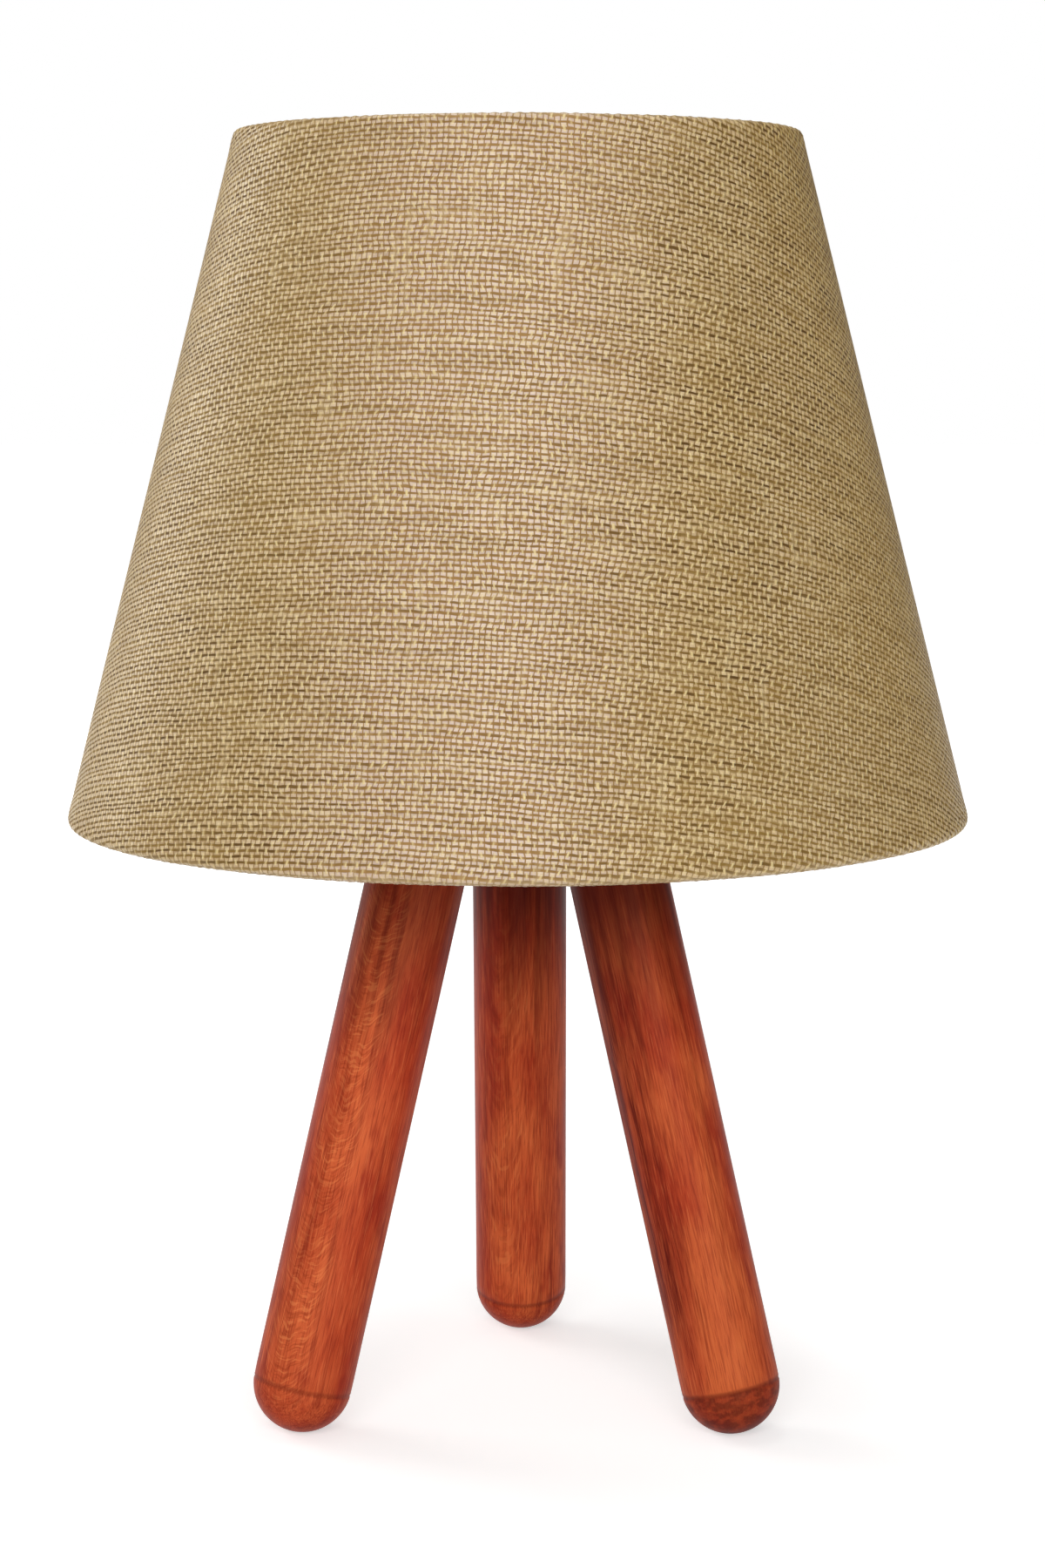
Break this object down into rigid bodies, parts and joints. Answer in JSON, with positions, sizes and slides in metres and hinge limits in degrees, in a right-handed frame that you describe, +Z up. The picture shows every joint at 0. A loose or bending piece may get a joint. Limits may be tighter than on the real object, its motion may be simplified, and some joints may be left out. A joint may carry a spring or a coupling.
{
  "type": "tripod table lamp",
  "caption": "Table lamp on leaning round wooden legs, with a screw lampholder and bulb under a tapered woven fabric shade that turns on its fitter.",
  "frame": {"origin": "on the table, under the middle of the lamp", "axes": "+Z up, the front between the two front legs faces -Y, +X to the lamp's right seen from the front"},
  "size_m": [0.2206, 0.2206, 0.313],
  "materials": {
    "stained_beech": "satin stain over straight beech grain",
    "stained_hub": "satin stain over turned beech",
    "zinc_steel": "zinc plated",
    "white_plastic": "moulded thermoplastic, matt",
    "insulator": "moulded heat-resistant plastic",
    "brass_strip": "plain brass",
    "nickel_shell": "nickel plated, thin sheet",
    "woven_jute": "coarse plain weave of jute-like yarn",
    "liner_film": "stiff off-white film",
    "white_wire": "white enamel",
    "solder": "dull solder",
    "black_glass": "gloss",
    "bulb_plastic": "smooth white",
    "circuit_board": "green laminate",
    "board_aluminium": "white solder mask on aluminium",
    "led_yellow": "phosphor",
    "opal": "opal diffuser"
  },
  "bodies": {
    "base": {"leg_left": "stained_beech", "leg_right": "stained_beech", "leg_rear": "stained_beech", "hub": "stained_hub", "leg_screws": "zinc_steel", "nipple": "zinc_steel", "nipple_washer": "zinc_steel", "nipple_nut": "zinc_steel", "cable_bushing": "white_plastic", "holder_cap": "white_plastic", "cap_lock_screw": "zinc_steel", "holder_skirt": "white_plastic", "contact_carrier": "insulator", "centre_contact": "brass_strip", "side_contact": "brass_strip", "screw_shell": "nickel_shell", "terminal_blocks": "brass_strip", "terminal_screws": "zinc_steel"},
    "shade": {"shade_fabric": "woven_jute", "shade_liner": "liner_film", "bottom_ring": "white_wire", "top_ring": "white_wire", "shade_spokes": "white_wire", "fitter_ring": "white_wire"},
    "retaining_ring": {"shade_ring": "white_plastic"},
    "bulb_lift": {"bulb_tip": "solder"},
    "bulb": {"bulb_insulator": "black_glass", "bulb_cap": "nickel_shell", "bulb_housing": "bulb_plastic", "bulb_driver": "circuit_board", "led_board": "board_aluminium", "leds": "led_yellow", "bulb_globe": "opal"}
  },
  "joints": [
    {"name": "shade_turn", "type": "hinge", "parent": "base", "child": "shade", "pos_m": [0, 0, 0.1976], "axis": [0, 0, 1], "continuous": true},
    {"name": "ring_turn", "type": "hinge", "parent": "base", "child": "retaining_ring", "pos_m": [0, 0, 0.2], "axis": [0, 0, 1], "range_deg": [0, 4320]},
    {"name": "bulb_rise", "type": "slide", "parent": "base", "child": "bulb_lift", "axis": [0, 0, 1], "range_m": [0, 0.0127]},
    {"name": "bulb_turn", "type": "hinge", "parent": "bulb_lift", "child": "bulb", "pos_m": [0, 0, 0.21], "axis": [0, 0, 1], "range_deg": [0, 1620]}
  ],
  "couplings": [
    {"joint": "bulb_rise", "follows": "bulb_turn", "m_per_rad": 0.00044913}
  ]
}
